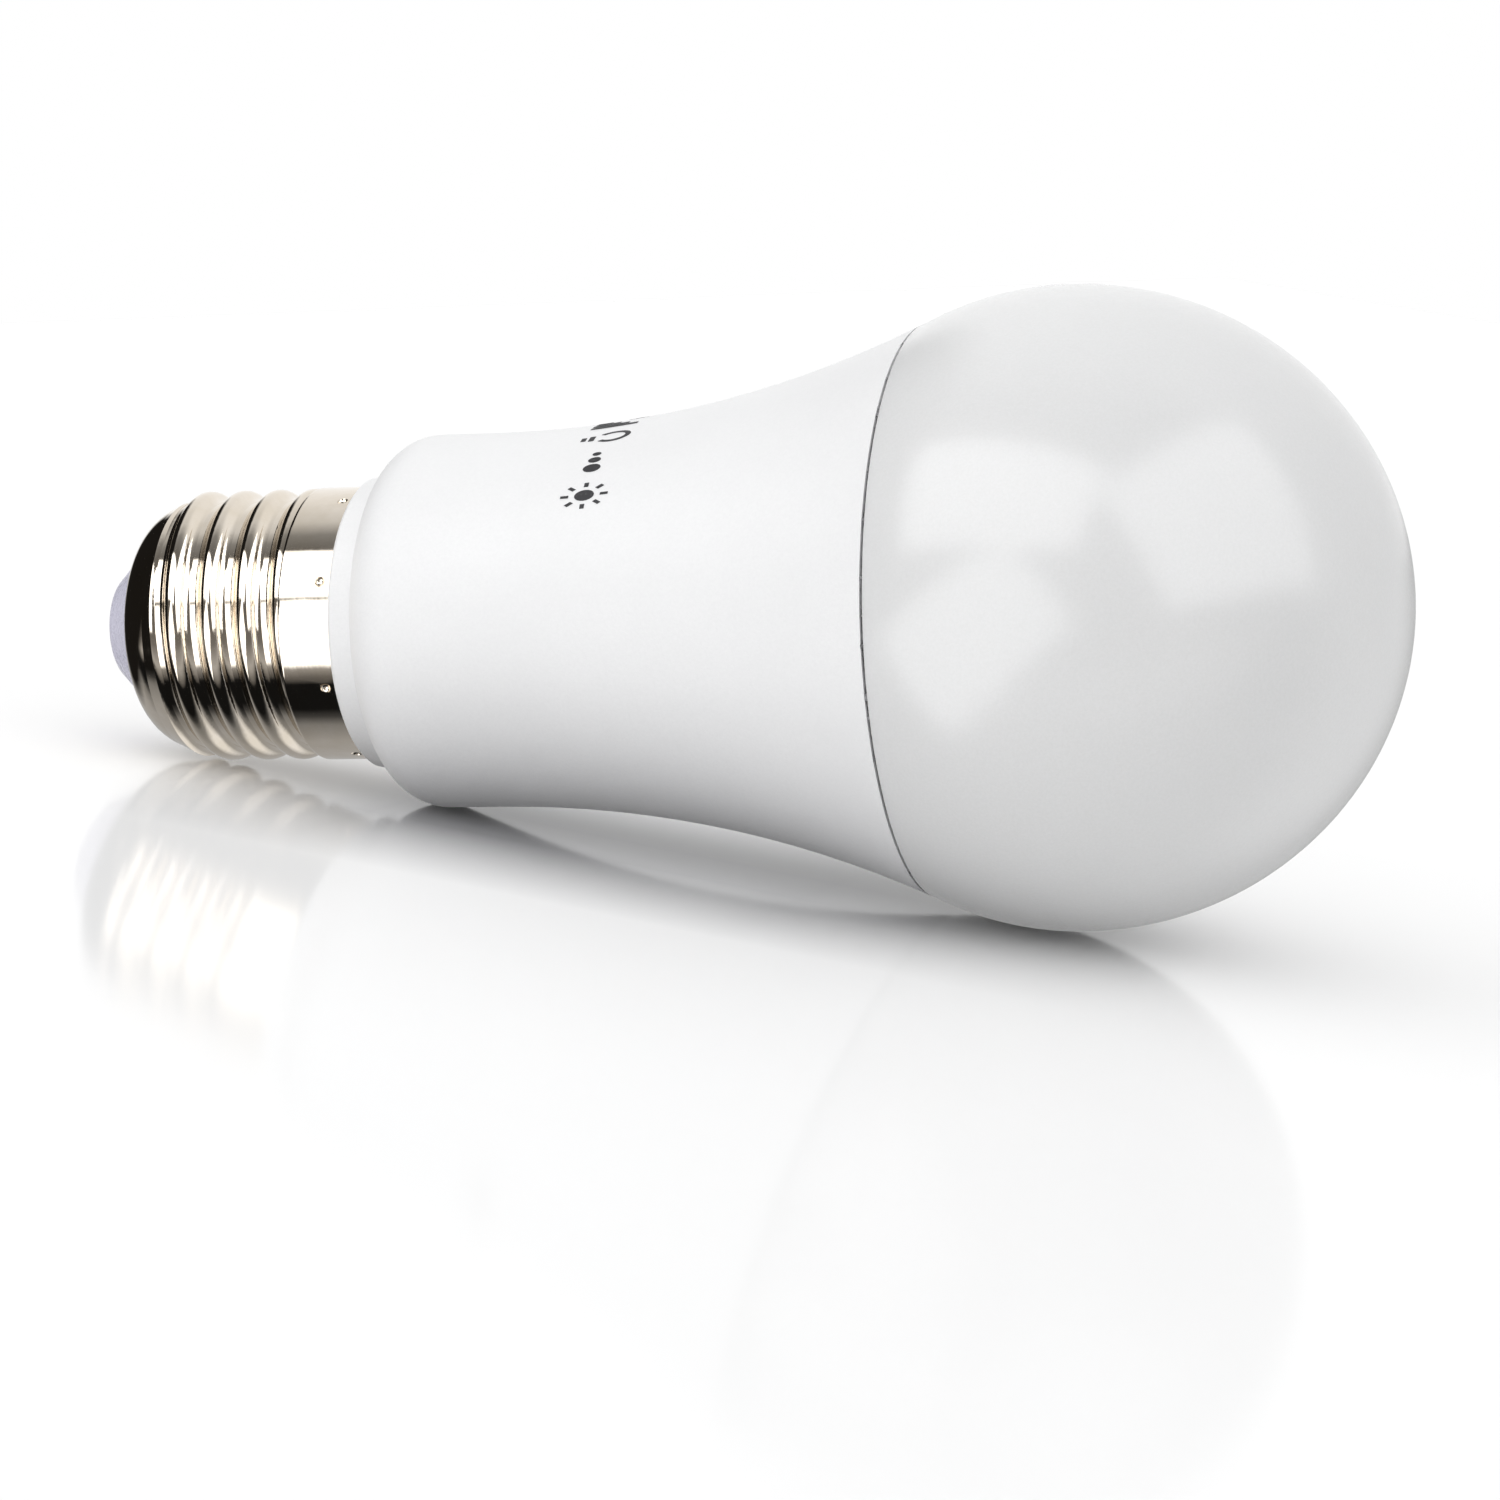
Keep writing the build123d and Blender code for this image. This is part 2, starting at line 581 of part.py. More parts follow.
def surface_package(centre_x, body, leads_per_side):
    """A flat package with leads along both sides, on the front of the driver board."""
    length, height, width = body
    lead_width, lead_height, lead_reach = CHIP_LEAD
    board_face = -BOARD_HALF - SOLDER_GAP
    low = (centre_x - length / 2, board_face - height, -width / 2)
    case = block(low, (centre_x + length / 2, board_face, width / 2))
    case = chamfer(case.faces().sort_by(Axis.Y)[0].edges(), PACKAGE_CHAMFER)
    pitch = length / leads_per_side
    half_reach = width / 2 + lead_reach
    leads = [
        Pos(centre_x + pitch * (index - (leads_per_side - 1) / 2), board_face - lead_height / 2, 0)
        * Box(lead_width, lead_height, 2 * half_reach)
        for index in range(leads_per_side)
    ]
    return case + leads


def make_fusible_resistor():
    """Axial resistor with enlarged ends, on the front of the driver board."""
    start_x, end_x = RESISTOR_X
    y = -BOARD_HALF - SOLDER_GAP - RESISTOR_R
    body = rod(start_x, end_x, RESISTOR_R, y, RESISTOR_Z)
    body = fillet(body.edges(), RESISTOR_R / 2)
    return body + rod(start_x - RESISTOR_LEAD, end_x + RESISTOR_LEAD, RESISTOR_LEAD_R, y, RESISTOR_Z)


# ---- Pin header between the boards ----
def header_pin_places():
    """The pins' heights along z."""
    return [HEADER_PITCH * (index - (HEADER_PINS - 1) / 2) for index in range(HEADER_PINS)]


def header_pins(play):
    """Square pins along the axis, each side enlarged by play."""
    centre_y = sum(HEADER_Y) / 2
    half = PIN_SIDE / 2 + play
    start_x = HEADER_X[0] - HEADER_PITCH / 2
    return [
        block((start_x, centre_y - half, z - half), (HEADER_PIN_END_X, centre_y + half, z + half))
        for z in header_pin_places()
    ]


def make_header_block():
    """Plastic strip that holds the pins at the driver board's dome end."""
    half = HEADER_PITCH * HEADER_PINS / 2
    strip = block((HEADER_X[0], HEADER_Y[0], -half), (HEADER_X[1], HEADER_Y[1], half))
    return strip - header_pins(FIT_GAP / 2)


# ---- Radio module ----
def make_radio_board():
    """Small board that stands beside the driver board and reaches through the LED board into the dome."""
    return block((MODULE_X[0], MODULE_FRONT_Y, -MODULE_HALF), (MODULE_X[1], MODULE_BACK_Y, MODULE_HALF))


def make_radio_shield():
    """Open-backed metal can over the radio chips."""
    can = block((CAN_X[0], MODULE_FRONT_Y - CAN_HEIGHT, -CAN_HALF), (CAN_X[1], MODULE_FRONT_Y, CAN_HALF))
    can = fillet(can.edges().filter_by(Axis.Y), CAN_ROUND)
    inside = block(
        (CAN_X[0] + CAN_WALL, MODULE_FRONT_Y - CAN_HEIGHT + CAN_WALL, -CAN_HALF + CAN_WALL),
        (CAN_X[1] - CAN_WALL, MODULE_FRONT_Y, CAN_HALF - CAN_WALL),
    )
    return can - inside


def make_radio_antenna():
    """Meandering copper track on the end of the radio board that stands in the dome."""
    low_x, high_x = ANTENNA_X
    pitch = 2 * ANTENNA_HALF / (2 * ANTENNA_TURNS)
    points = [(low_x, -ANTENNA_HALF)]
    for index in range(2 * ANTENNA_TURNS):
        x = high_x if index % 2 == 0 else low_x
        z = -ANTENNA_HALF + pitch * index
        points += [(x, z), (x, z + pitch)]
    runs = []
    for (x1, z1), (x2, z2) in zip(points, points[1:]):
        half = ANTENNA_WIDTH / 2
        low = (min(x1, x2) - half, MODULE_FRONT_Y - ANTENNA_THICKNESS, min(z1, z2) - half)
        high = (max(x1, x2) + half, MODULE_FRONT_Y, max(z1, z2) + half)
        runs.append(block(low, high))
    return runs[0].fuse(*runs[1:]).clean()


def make_radio_pins():
    """Row of pins that solder the radio board to the driver board."""
    half = PIN_SIDE / 2
    first_x = MODULE_X[0] + MODULE_PIN_PITCH
    pins = []
    for index in range(MODULE_PINS):
        x = first_x + MODULE_PIN_PITCH * index
        low = (x - half, MODULE_BACK_Y, MODULE_PIN_Z - half)
        pins.append(block(low, (x + half, -BOARD_HALF, MODULE_PIN_Z + half)))
    return Compound(pins)


PARTS = {
    "screw_shell": make_screw_shell(),
    "cap_insulator": make_cap_insulator(),
    "centre_contact": make_centre_contact(),
    "housing": make_housing(),
    "diffuser_dome": make_diffuser_dome(),
    "dome_adhesive": make_dome_adhesive(),
    "heat_sink_cup": make_heat_sink_cup(),
    "thermal_paste": make_thermal_paste(),
    "led_board": make_led_board(),
    "warm_white_leds": white_leds(0),
    "cool_white_leds": white_leds(1),
    "colour_leds": make_colour_leds(),
    "board_screws": make_board_screws(),
    "driver_board": make_driver_board(),
    "input_capacitor": lying_capacitor(*INPUT_CAPACITOR_X, 0),
    "output_capacitor": lying_capacitor(*OUTPUT_CAPACITOR_X, OUTPUT_CAPACITOR_Z),
    "film_capacitor": make_film_capacitor(),
    "choke_core": make_choke_core(),
    "choke_coil": make_choke_coil(),
    "transformer_core": make_transformer_core(),
    "transformer_bobbin": make_transformer_bobbin(),
    "transformer_winding": make_transformer_winding(),
    "bridge_rectifier": surface_package(BRIDGE_X, BRIDGE_BODY, 2),
    "driver_chip": surface_package(CHIP_X, CHIP_BODY, 4),
    "fusible_resistor": make_fusible_resistor(),
    "header_block": make_header_block(),
    "header_pins": Compound(header_pins(0)),
    "radio_board": make_radio_board(),
    "radio_shield": make_radio_shield(),
    "radio_antenna": make_radio_antenna(),
    "radio_pins": make_radio_pins(),
    "live_lead": tube_along(LIVE_LEAD_ROUTE, LIVE_LEAD_BEND, LIVE_LEAD_R),
    "neutral_lead": tube_along(NEUTRAL_LEAD_ROUTE, NEUTRAL_LEAD_BEND, NEUTRAL_LEAD_R),
}

os.makedirs("parts", exist_ok=True)
for name, shape in PARTS.items():
    export_step(shape, f"parts/{name}.step")
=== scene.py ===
import json
import math
import random

import bmesh
import bpy
from mathutils import Matrix, Vector


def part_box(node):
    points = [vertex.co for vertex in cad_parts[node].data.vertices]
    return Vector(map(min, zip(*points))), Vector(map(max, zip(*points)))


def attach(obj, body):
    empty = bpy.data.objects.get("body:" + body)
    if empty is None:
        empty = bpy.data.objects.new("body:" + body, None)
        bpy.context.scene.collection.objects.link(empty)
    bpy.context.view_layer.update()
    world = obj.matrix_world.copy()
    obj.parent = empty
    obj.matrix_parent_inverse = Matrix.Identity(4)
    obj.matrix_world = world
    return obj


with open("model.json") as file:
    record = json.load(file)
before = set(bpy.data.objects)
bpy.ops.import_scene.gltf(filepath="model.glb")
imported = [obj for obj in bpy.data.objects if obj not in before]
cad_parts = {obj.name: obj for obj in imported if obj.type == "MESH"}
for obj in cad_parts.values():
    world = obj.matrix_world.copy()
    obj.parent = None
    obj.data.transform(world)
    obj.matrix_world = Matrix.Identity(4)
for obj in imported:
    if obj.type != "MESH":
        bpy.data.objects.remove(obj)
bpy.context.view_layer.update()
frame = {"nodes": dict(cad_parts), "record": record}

# Looks for a smart LED lamp with an E27 screw cap, in metres.
# The lamp axis is +X, from the cap to the tip of the dome, and +Z is up. The lamp lies on a floor that
# slopes down towards the dome, because it touches the floor with its heel and its dome.

# ---- Places read from the frame ----
HOUSING_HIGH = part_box("housing")[1]
RIM_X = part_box("screw_shell")[1].x
SEAM_X = HOUSING_HIGH.x
SEAM_R = HOUSING_HIGH.z
DOME_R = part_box("diffuser_dome")[1].z

# ---- Lamp ----
SEAM_GAP = 0.0003
DOME_CENTRE_X = 0.0965  # the widest section
HEEL_CENTRE_X = 0.0344
HEEL_CENTRE_R = 0.0129
HEEL_ROUND = 0.005
WAIST_R = HEEL_CENTRE_R + HEEL_ROUND
FLARE_START_X = 0.040
# The flare is an arc that meets the waist and the dome's sphere without a corner.
FLARE_RUN = DOME_CENTRE_X - FLARE_START_X
FLARE_R = (FLARE_RUN**2 + WAIST_R**2 - DOME_R**2) / (2 * (DOME_R - WAIST_R))

# ---- Camera ----
CAMERA_DISTANCE = 0.520  # to the plane through the rim of the cap
CAMERA_LENS = 129.3  # on a 36 mm sensor
CAMERA_TURN = math.radians(17.0)  # brings the dome's end nearer
CAMERA_ROLL = math.radians(-0.75)
CAMERA_RISE = math.radians(5.0)
RIM_RIGHT = -0.0359  # where the rim's centre stands, right of the middle of the view
RIM_DOWN = -0.0123  # and below it

STRIPE_Y = 0.0072  # the capacitors' pale stripe faces away from the driver board

# ---- Printed symbols ----
MARK_X = 0.0508  # where the row starts
MARK_SIZE = 0.0050  # height of a symbol, along the lamp axis
MARK_WIDTH = 0.0031  # and its width round the housing
MARK_FIRST = 100.0  # degrees round the housing from the front, where the first symbol starts
MARK_STEP = 13.6
MARK_LIFT = 0.00003  # the ink's middle above the plastic
INK_THICKNESS = 0.00002

# ---- Adhesive crumbs in the seam ----
CRUMB_PLACES = (45.0, -3.0, -13.0, -26.0, -61.0)  # the large ones, in degrees from the front
CRUMB_COUNT = 26  # small ones, anywhere
CRUMB_R = 0.00016
LARGE_CRUMB = (0.9, 1.4)  # shares of that radius
SMALL_CRUMB = (0.35, 0.8)
CRUMB_SINK = 0.3  # how deep a crumb sits, as a share of its own radius
CRUMB_RIPPLE = 0.22
CRUMB_STRETCH = (1.0, 2.2)  # along the seam

# ---- Studio ----
FLOOR_X = (-0.30, 1.2)  # from under the dome's centre
FLOOR_Y = (-0.7, 1.5)
# The floor's colour is painted grey under the lamp as a painted shadow, between these places where the
# painted shadow starts and is full.
SHADE_FRONT = (-0.040, -0.012)
SHADE_BACK = (0.000, 0.040)
SHADE_CAP = (0.008, 0.030)
SHADE_DOME = (0.072, 0.108)
PAINTED_SHADOW_COLOUR = (0.40, 0.40, 0.41)
# Diffuse light comes from above and a little from the front, and is weak near the horizon.
SKY_TOWARDS = (0.0, -0.42, 0.91)
SKY_RISE = (-0.05, 0.75)
SKY_LOW = (0.22, 0.22, 0.225)
SKY_HIGH = (1.27, 1.27, 1.27)
# What gloss sees, in degrees round the lamp axis: 0 is the camera's side and 90 is straight up.
STUDIO_STRIPS = (
    (-180, (0.47, 0.47, 0.47)),
    (-115, (0.40, 0.40, 0.40)),
    (-92, (0.24, 0.24, 0.24)),
    (-82, (0.06, 0.06, 0.06)),
    (-74, (0.008, 0.008, 0.008)),
    (-48, (0.008, 0.008, 0.008)),
    (-40, (0.22, 0.21, 0.20)),
    (-30, (0.50, 0.49, 0.48)),
    (-10, (0.20, 0.19, 0.18)),
    (25, (0.15, 0.14, 0.13)),
    (70, (0.17, 0.165, 0.16)),
    (84, (0.28, 0.28, 0.28)),
    (99, (0.72, 0.72, 0.72)),
    (125, (0.95, 0.95, 0.95)),
    (155, (1.05, 1.05, 1.05)),
    (180, (1.05, 1.05, 1.05)),
)
# A dark flag stands off the cap's end.
DARK_FLAG = (-0.90, 0.20, 0.30)
DARK_FLAG_EDGE = (0.69, 0.79)  # cosines of the angles where its edge ends and starts
DARK_FLAG_COLOUR = (0.012, 0.011, 0.010)
# The room is white behind the lamp and on the dome's side: where x and y of a direction fade it in.
WHITE_SIDE = (0.15, 0.45)
# Three big soft cards: the direction of the middle, the direction of one side, the tangents of half the
# angles that the card covers along and across that side, and radiance.
SOFT_CARDS = (
    ((-0.31, -0.66, 0.68), (0.93, -0.36, 0.05), 0.62, 0.34, 2.9),
    ((0.80, -0.30, 0.50), (0.36, 0.93, 0.08), 0.62, 0.50, 2.6),
    ((-0.38, -0.92, -0.16), (0.55, -0.21, -0.81), 0.38, 0.60, 2.6),
)
CARD_EDGE = (0.92, 1.08)  # where a card's edge starts and ends, as shares of its half size


# ---- Material building blocks ----
def set_inputs(node, **values):
    """Sets a node's sockets. An underscore in a name stands for a space."""
    for name, value in values.items():
        node.inputs[name.replace("_", " ")].default_value = value


def new_material(name):
    """A Principled material, with the tree and shader to build on."""
    material = bpy.data.materials.new(name)
    material.use_nodes = True
    tree = material.node_tree
    return material, tree, tree.nodes["Principled BSDF"]


def noise(tree, scale, detail=3.0, roughness=0.5, stretch=(1, 1, 1), shift=0.0):
    """Noise in the frame's own space, squeezed by stretch along each axis."""
    place = tree.nodes.new("ShaderNodeTexCoord")
    mapping = tree.nodes.new("ShaderNodeMapping")
    set_inputs(mapping, Scale=stretch, Location=(shift, shift, shift))
    texture = tree.nodes.new("ShaderNodeTexNoise")
    set_inputs(texture, Scale=scale, Detail=detail, Roughness=roughness)
    tree.links.new(place.outputs["Object"], mapping.inputs["Vector"])
    tree.links.new(mapping.outputs["Vector"], texture.inputs["Vector"])
    return texture.outputs["Fac"]


def spread(tree, factor, low, high, start=0.35, end=0.65):
    """A factor's middle part, stretched to run from low to high."""
    node = tree.nodes.new("ShaderNodeMapRange")
    set_inputs(node, From_Min=start, From_Max=end, To_Min=low, To_Max=high)
    tree.links.new(factor, node.inputs["Value"])
    return node.outputs["Result"]


def blend(tree, factor, first, second):
    """A colour between two, by a factor. Each colour is a value or another node's output."""
    node = tree.nodes.new("ShaderNodeMix")
    node.data_type = "RGBA"
    tree.links.new(factor, node.inputs["Factor"])
    for socket, colour in (("A", first), ("B", second)):
        target = next(s for s in node.inputs if s.name == socket and s.type == "RGBA")
        if isinstance(colour, tuple):
            target.default_value = (*colour, 1)
        else:
            tree.links.new(colour, target)
    return next(s for s in node.outputs if s.type == "RGBA")


def calculate(tree, operation, *values):
    """A Math node. Each value is a number or another node's output."""
    node = tree.nodes.new("ShaderNodeMath")
    node.operation = operation
    for socket, value in zip(node.inputs, values):
        if isinstance(value, (int, float)):
            socket.default_value = value
        else:
            tree.links.new(value, socket)
    return node.outputs["Value"]


def coordinates(tree):
    """The place's x, y and z in the frame."""
    place = tree.nodes.new("ShaderNodeTexCoord")
    parts = tree.nodes.new("ShaderNodeSeparateXYZ")
    tree.links.new(place.outputs["Object"], parts.inputs["Vector"])
    return [parts.outputs[axis] for axis in "XYZ"]


def bump(tree, shader, height, depth):
    """Bumps from a height between 0 and 1, depth metres high."""
    node = tree.nodes.new("ShaderNodeBump")
    set_inputs(node, Distance=depth, Strength=1.0)
    tree.links.new(height, node.inputs["Height"])
    tree.links.new(node.outputs["Normal"], shader.inputs["Normal"])


def shaded(colour, share):
    """A colour made lighter or darker."""
    return tuple(min(1.0, channel * share) for channel in colour)


# ---- Materials ----
def moulded_plastic(name, colour, roughness, grain=2500.0, depth=0.000012, mottle=0.04):
    """Moulded plastic with a fine grain, slight mottling and uneven gloss."""
    material, tree, shader = new_material(name)
    patches = spread(tree, noise(tree, 90.0), 0.0, 1.0)
    base = blend(tree, patches, shaded(colour, 1 - mottle), shaded(colour, 1 + mottle))
    tree.links.new(base, shader.inputs["Base Color"])
    fine = noise(tree, grain, 2.0, 0.6)
    gloss = spread(tree, fine, roughness - 0.06, roughness + 0.06)
    tree.links.new(gloss, shader.inputs["Roughness"])
    bump(tree, shader, fine, depth)
    return material


def metal(name, colour, roughness, stretch=(1, 1, 1), depth=0.000003, tarnish=0.12):
    """Bare or plated metal with faint scratches and uneven tarnish."""
    material, tree, shader = new_material(name)
    shader.inputs["Metallic"].default_value = 1.0
    clouds = spread(tree, noise(tree, 160.0, 4.0, 0.6), 0.0, 1.0)
    base = blend(tree, clouds, shaded(colour, 1 - tarnish), colour)
    tree.links.new(base, shader.inputs["Base Color"])
    lines = noise(tree, 1500.0, 3.0, 0.6, stretch)
    gloss = spread(tree, lines, roughness * 0.7, roughness * 1.3)
    tree.links.new(gloss, shader.inputs["Roughness"])
    bump(tree, shader, lines, depth)
    return material


def circuit_board(name, mask, track):
    """Solder mask over copper: lighter tracks on a grid, plated through-holes and a woven ground."""
    material, tree, shader = new_material(name)
    x, _, z = coordinates(tree)
    place = tree.nodes.new("ShaderNodeTexCoord")
    cells = tree.nodes.new("ShaderNodeTexVoronoi")
    cells.distance = "MANHATTAN"
    cells.feature = "F1"
    set_inputs(cells, Scale=420.0, Randomness=0.75)
    tree.links.new(place.outputs["Object"], cells.inputs["Vector"])
    on_track = spread(tree, cells.outputs["Distance"], 0.0, 1.0, 0.52, 0.56)
    base = blend(tree, on_track, mask, track)
    holes = tree.nodes.new("ShaderNodeTexVoronoi")
    set_inputs(holes, Scale=300.0, Randomness=1.0)
    tree.links.new(place.outputs["Object"], holes.inputs["Vector"])
    solder = spread(tree, holes.outputs["Distance"], 1.0, 0.0, 0.13, 0.15)
    base = blend(tree, solder, base, (0.72, 0.72, 0.70))
    tree.links.new(base, shader.inputs["Base Color"])
    weave_x = calculate(tree, "SINE", calculate(tree, "MULTIPLY", x, 9000.0))
    weave_z = calculate(tree, "SINE", calculate(tree, "MULTIPLY", z, 9000.0))
    weave = calculate(tree, "MULTIPLY", weave_x, weave_z)
    height = calculate(tree, "ADD", calculate(tree, "MULTIPLY", weave, 0.1), on_track)
    bump(tree, shader, height, 0.00003)
    shader.inputs["Roughness"].default_value = 0.35
    return material


def wound(name, colour, painted_groove_shade, axis, turns_per_metre, roughness=0.3):
    """Turns of wire or tape side by side along an axis, 0 for x to 2 for z. The grooves between turns get
    a darker colour, a painted shade.
    """
    material, tree, shader = new_material(name)
    along = coordinates(tree)[axis]
    wave = calculate(tree, "SINE", calculate(tree, "MULTIPLY", along, 2 * math.pi * turns_per_metre))
    wander = calculate(tree, "MULTIPLY", noise(tree, 500.0), 0.4)
    height = calculate(tree, "ADD", calculate(tree, "ABSOLUTE", wave), wander)
    # Painted shade: the colour darkens in the grooves between turns, where the bump is low.
    base = blend(tree, spread(tree, height, 0.0, 1.0, 0.2, 0.7), painted_groove_shade, colour)
    tree.links.new(base, shader.inputs["Base Color"])
    shader.inputs["Roughness"].default_value = roughness
    bump(tree, shader, height, 0.00004)
    return material


def nickel_plate():
    """Polished nickel on rolled steel: soft waves, fine draw lines round the shell, and dull patches."""
    material, tree, shader = new_material("nickel_plate")
    shader.inputs["Metallic"].default_value = 1.0
    clouds = spread(tree, noise(tree, 240.0, 4.0, 0.6), 0.0, 1.0)
    base = blend(tree, clouds, (0.74, 0.665, 0.56), (0.80, 0.73, 0.64))
    tree.links.new(base, shader.inputs["Base Color"])
    draw_lines = noise(tree, 260.0, 4.0, 0.65, (14, 1, 1))
    tree.links.new(spread(tree, draw_lines, 0.04, 0.09), shader.inputs["Roughness"])
    waves = noise(tree, 170.0, 1.0, 0.4, (1.6, 1, 1), 0.4)
    height = calculate(tree, "ADD", calculate(tree, "MULTIPLY", draw_lines, 0.05), waves)
    bump(tree, shader, height, 0.00004)
    return material


def housing_plastic():
    """White satin plastic with a fine spark-eroded grain and the faintest mottling."""
    material, tree, shader = new_material("housing_plastic")
    patches = spread(tree, noise(tree, 70.0, 3.0), 0.0, 1.0)
    base = blend(tree, patches, (0.865, 0.867, 0.872), (0.885, 0.887, 0.892))
    fine = spread(tree, noise(tree, 3300.0, 3.0, 0.8), 0.0, 0.35)
    base = blend(tree, fine, base, (0.80, 0.80, 0.81))
    tree.links.new(base, shader.inputs["Base Color"])
    grain = noise(tree, 2400.0, 3.0, 0.65)
    tree.links.new(spread(tree, grain, 0.38, 0.52), shader.inputs["Roughness"])
    bump(tree, shader, grain, 0.00002)
    set_inputs(shader, Specular_IOR_Level=0.45, IOR=1.47)
    return material


def diffuser_plastic():
    """Milky polycarbonate: light spreads in it, under a satin gloss with a fine grain."""
    material, tree, shader = new_material("diffuser_plastic")
    patches = spread(tree, noise(tree, 50.0, 3.0), 0.0, 1.0)
    base = blend(tree, patches, (0.775, 0.778, 0.78), (0.79, 0.792, 0.793))
    fine = spread(tree, noise(tree, 3600.0, 3.0, 0.8), 0.0, 0.35)
    base = blend(tree, fine, base, (0.70, 0.705, 0.70))
    tree.links.new(base, shader.inputs["Base Color"])
    grain = noise(tree, 3200.0, 2.0, 0.6)
    tree.links.new(spread(tree, grain, 0.17, 0.23), shader.inputs["Roughness"])
    bump(tree, shader, grain, 0.000004)
    set_inputs(shader, IOR=1.58, Subsurface_Weight=0.3, Subsurface_Scale=0.003)
    set_inputs(shader, Subsurface_Radius=(1.0, 1.0, 0.95))
    return material


def adhesive():
    """Cured grey silicone with dust and darker lumps in it."""
    material, tree, shader = new_material("adhesive")
    lumps = spread(tree, noise(tree, 900.0, 3.0, 0.7), 0.0, 1.0)
    base = blend(tree, lumps, (0.10, 0.10, 0.105), (0.34, 0.34, 0.35))
    tree.links.new(base, shader.inputs["Base Color"])
    tree.links.new(spread(tree, lumps, 0.45, 0.75, 0.0, 1.0), shader.inputs["Roughness"])
    bump(tree, shader, lumps, 0.00004)
    return material


def printed_ink():
    """Dark grey pad-printed ink, thin where the grain shows through."""
    material, tree, shader = new_material("printed_ink")
    thin = spread(tree, noise(tree, 2600.0, 2.0, 0.7), 0.0, 0.5, 0.5, 0.75)
    base = blend(tree, thin, (0.03, 0.03, 0.033), (0.10, 0.10, 0.105))
    tree.links.new(base, shader.inputs["Base Color"])
    shader.inputs["Roughness"].default_value = 0.55
    bump(tree, shader, thin, 0.000006)
    return material


def phosphor(name, colour):
    """A yellow phosphor pool in a white frame: grains in clear silicone."""
    material, tree, shader = new_material(name)
    grains = spread(tree, noise(tree, 9000.0, 2.0, 0.6), 0.0, 1.0)
    tree.links.new(blend(tree, grains, shaded(colour, 0.82), colour), shader.inputs["Base Color"])
    shader.inputs["Roughness"].default_value = 0.25
    set_inputs(shader, Coat_Weight=0.6, Coat_Roughness=0.08)
    bump(tree, shader, grains, 0.00002)
    return material


def capacitor_sleeve():
    """Shrink sleeve with its pale polarity stripe down one side."""
    material, tree, shader = new_material("capacitor_sleeve")
    _, y, _ = coordinates(tree)
    stripe = calculate(tree, "GREATER_THAN", y, STRIPE_Y)
    ripple = spread(tree, noise(tree, 700.0, 3.0, 0.6, (0.3, 1, 1)), 0.0, 1.0)
    dark = blend(tree, ripple, (0.02, 0.022, 0.03), (0.045, 0.05, 0.065))
    tree.links.new(blend(tree, stripe, dark, (0.55, 0.56, 0.58)), shader.inputs["Base Color"])
    tree.links.new(spread(tree, ripple, 0.25, 0.4, 0.0, 1.0), shader.inputs["Roughness"])
    bump(tree, shader, ripple, 0.00004)
    return material


def slot_materials():
    """One material for each of the record's slots."""
    return {
        "nickel_plate": nickel_plate(),
        "insulator_plastic": moulded_plastic(
            "insulator_plastic", (0.62, 0.61, 0.72), 0.28, 1800.0, 0.00001
        ),
        "contact_metal": metal("contact_metal", (0.82, 0.75, 0.55), 0.28),
        "housing_plastic": housing_plastic(),
        "diffuser_plastic": diffuser_plastic(),
        "adhesive": adhesive(),
        "cup_aluminium": metal("cup_aluminium", (0.80, 0.81, 0.82), 0.35, (8, 1, 1), 0.00001),
        "thermal_paste": moulded_plastic("thermal_paste", (0.86, 0.86, 0.84), 0.7, 700.0, 0.0001),
        "white_solder_mask": moulded_plastic("white_solder_mask", (0.90, 0.90, 0.88), 0.35, 1200.0),
        "warm_phosphor": phosphor("warm_phosphor", (0.95, 0.62, 0.14)),
        "cool_phosphor": phosphor("cool_phosphor", (0.95, 0.85, 0.30)),
        "clear_encapsulant": phosphor("clear_encapsulant", (0.88, 0.88, 0.84)),
        "screw_steel": metal("screw_steel", (0.66, 0.66, 0.67), 0.30),
        "green_board": circuit_board("green_board", (0.015, 0.11, 0.035), (0.03, 0.20, 0.07)),
        "blue_board": circuit_board("blue_board", (0.01, 0.035, 0.16), (0.02, 0.08, 0.27)),
        "capacitor_sleeve": capacitor_sleeve(),
        "film_case": moulded_plastic("film_case", (0.80, 0.60, 0.06), 0.45, 1500.0, 0.00003),
        "ferrite": moulded_plastic("ferrite", (0.045, 0.045, 0.05), 0.65, 1800.0, 0.00006, 0.3),
        "copper": wound("copper", (0.75, 0.30, 0.12), (0.16, 0.05, 0.02), 1, 2600.0),
        "bobbin_plastic": moulded_plastic(
            "bobbin_plastic", (0.03, 0.03, 0.03), 0.5, 1500.0, 0.00003, 0.2
        ),
        "winding_tape": wound("winding_tape", (0.80, 0.62, 0.06), (0.50, 0.34, 0.03), 1, 700.0),
        "chip_plastic": moulded_plastic("chip_plastic", (0.02, 0.02, 0.022), 0.6, 2500.0, 0.00002, 0.2),
        "resistor_lacquer": moulded_plastic(
            "resistor_lacquer", (0.12, 0.25, 0.18), 0.4, 1400.0, 0.00005, 0.15
        ),
        "shield_metal": metal("shield_metal", (0.76, 0.76, 0.75), 0.30, (1, 6, 1)),
        "lead_insulation": moulded_plastic("lead_insulation", (0.50, 0.015, 0.012), 0.4, 1500.0, 0.00002),
        "bare_wire": metal("bare_wire", (0.80, 0.79, 0.77), 0.30, (6, 1, 1)),
    }


def dress_cad_nodes(materials):
    """Gives each CAD node the material of its slot in the record."""
    slots = {row["node"]: row["material_slot"] for row in frame["record"]["subparts"]}
    for name, node in frame["nodes"].items():
        material = materials[slots[name]]
        node.data.materials.clear()
        node.data.materials.append(material)


# ---- Extra pieces ----
def housing_radius(x):
    """The housing's outer radius at a distance along the axis, from the heel to the seam."""
    if x <= FLARE_START_X:
        return WAIST_R
    return WAIST_R + FLARE_R - math.sqrt(FLARE_R**2 - (x - FLARE_START_X) ** 2)


